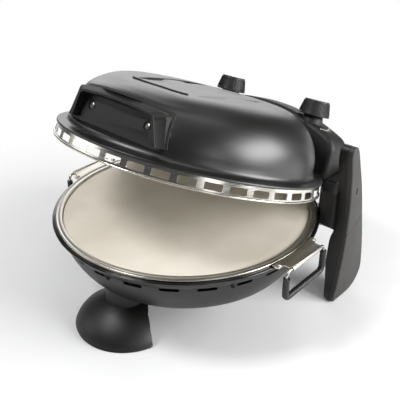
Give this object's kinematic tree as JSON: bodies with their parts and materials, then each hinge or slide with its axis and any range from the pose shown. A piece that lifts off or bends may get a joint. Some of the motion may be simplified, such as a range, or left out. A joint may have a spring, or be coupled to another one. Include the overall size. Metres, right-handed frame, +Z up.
{
  "type": "electric pizza maker",
  "caption": "Round electric pizza maker with a baking stone, a domed hinged lid, side arms, a front foot and two rear knobs, drawn with its lid ajar.",
  "frame": {"origin": "middle of the standing surface under the whole part's box", "axes": "+Z up, -Y towards the front handle, +Y towards the hinge, +X to the right seen from the front"},
  "size_m": [0.371, 0.3684, 0.2977],
  "materials": {
    "dome_paint": "satin black baked paint on a pressed steel lid",
    "base_paint": "satin black baked paint on the pressed bowl",
    "rim_enamel": "glossy black enamel",
    "band_steel": "bright satin stainless steel with a fine circular grain",
    "tray_metal": "bright pressed metal with concentric ridges",
    "tab_steel": "satin steel sheet with straight grain",
    "reflector_steel": "plain bright sheet, slightly heat tinted",
    "plain_steel": "plain zinc plated steel",
    "dark_screw": "dark coated screw head",
    "element_sheath": "dull dark heater sheath",
    "baking_stone": "fine matte cream baking stone",
    "black_plastic": "matte black heat-resistant plastic, fine grain",
    "grained_plastic": "dark grey plastic with a fine leathery grain",
    "grey_plastic": "matte dark grey plastic, fine grain",
    "knob_plastic": "satin black plastic with moulded ribs",
    "cap_silver": "pale satin silver disc",
    "strip_plastic": "plain dark glossy strip, nothing on it",
    "sleeve_plastic": "black heat-resistant sleeve",
    "wire_chrome": "bright plated wire",
    "pad_rubber": "soft black rubber",
    "insulator": "pale ceramic or moulded insulator",
    "lead_sleeve": "woven glass sleeve",
    "brass_body": "plain brass housing of a capillary regulator"
  },
  "bodies": {
    "base": {"base_shell": "base_paint", "base_rim": "rim_enamel", "base_reflector": "reflector_steel", "reflector_posts": "plain_steel", "reflector_screws": "plain_steel", "lower_element": "element_sheath", "lower_element_saddles": "plain_steel", "skirt_screws": "dark_screw", "front_foot": "black_plastic", "foot_pad": "pad_rubber", "foot_screws": "plain_steel", "hinge_bracket_right": "black_plastic", "hinge_bracket_left": "black_plastic", "bracket_screws": "plain_steel", "arm_core_right": "black_plastic", "arm_core_left": "black_plastic", "arm_upper_cover_right": "grey_plastic", "arm_upper_cover_left": "grey_plastic", "arm_lower_cover_right": "grey_plastic", "arm_lower_cover_left": "grey_plastic", "arm_pads": "pad_rubber", "arm_screws": "plain_steel", "hinge_pins": "plain_steel", "hinge_washers": "plain_steel", "cord_gland": "pad_rubber", "terminal_block": "insulator", "base_leads": "lead_sleeve", "stone_tray": "tray_metal", "tray_tab_right": "tab_steel", "tray_tab_left": "tab_steel", "tab_rivets": "tab_steel"},
    "stone": {"baking_stone": "baking_stone"},
    "bail_right": {"bail_wire_right": "wire_chrome", "bail_sleeve_right": "sleeve_plastic"},
    "bail_left": {"bail_wire_left": "wire_chrome", "bail_sleeve_left": "sleeve_plastic"},
    "lid": {"lid_dome": "dome_paint", "lid_band": "band_steel", "lid_reflector": "reflector_steel", "upper_element": "element_sheath", "upper_element_hangers": "plain_steel", "front_handle": "grained_plastic", "handle_screws": "plain_steel", "handle_nuts": "plain_steel", "plain_name_strip": "strip_plastic", "rear_housing": "grained_plastic", "housing_bottom": "black_plastic", "housing_screws": "plain_steel", "hinge_lug_right": "plain_steel", "hinge_lug_left": "plain_steel", "thermostat": "brass_body", "timer": "insulator", "control_nuts": "plain_steel", "lid_leads": "lead_sleeve"},
    "thermostat_dial": {"thermostat_knob": "knob_plastic", "thermostat_cap": "cap_silver", "thermostat_shaft": "plain_steel"},
    "timer_dial": {"timer_knob": "knob_plastic", "timer_cap": "cap_silver", "timer_shaft": "plain_steel"}
  },
  "joints": [
    {"name": "lid_hinge", "type": "hinge", "parent": "base", "child": "lid", "pos_m": [0.00072, 0.1558, 0.14], "axis": [-1, 0, 0], "range_deg": [-20.5, 64.5]},
    {"name": "stone_lift", "type": "slide", "parent": "base", "child": "stone", "axis": [0, 0, 1], "range_m": [0, 0.006]},
    {"name": "right_bail_swing", "type": "hinge", "parent": "base", "child": "bail_right", "pos_m": [0.18066, -0.00748, 0.118], "axis": [0.0262, -0.9997, 0], "range_deg": [-12, 168]},
    {"name": "left_bail_swing", "type": "hinge", "parent": "base", "child": "bail_left", "pos_m": [-0.17872, -0.02632, 0.118], "axis": [-0.0785, 0.9969, 0], "range_deg": [-12, 168]},
    {"name": "thermostat_turn", "type": "hinge", "parent": "lid", "child": "thermostat_dial", "pos_m": [-0.07008, 0.1537, 0.21146], "axis": [0, -0.3502, -0.9367], "range_deg": [0, 270]},
    {"name": "timer_turn", "type": "hinge", "parent": "lid", "child": "timer_dial", "pos_m": [0.07152, 0.1537, 0.21146], "axis": [0, -0.3502, -0.9367], "range_deg": [0, 300]}
  ]
}
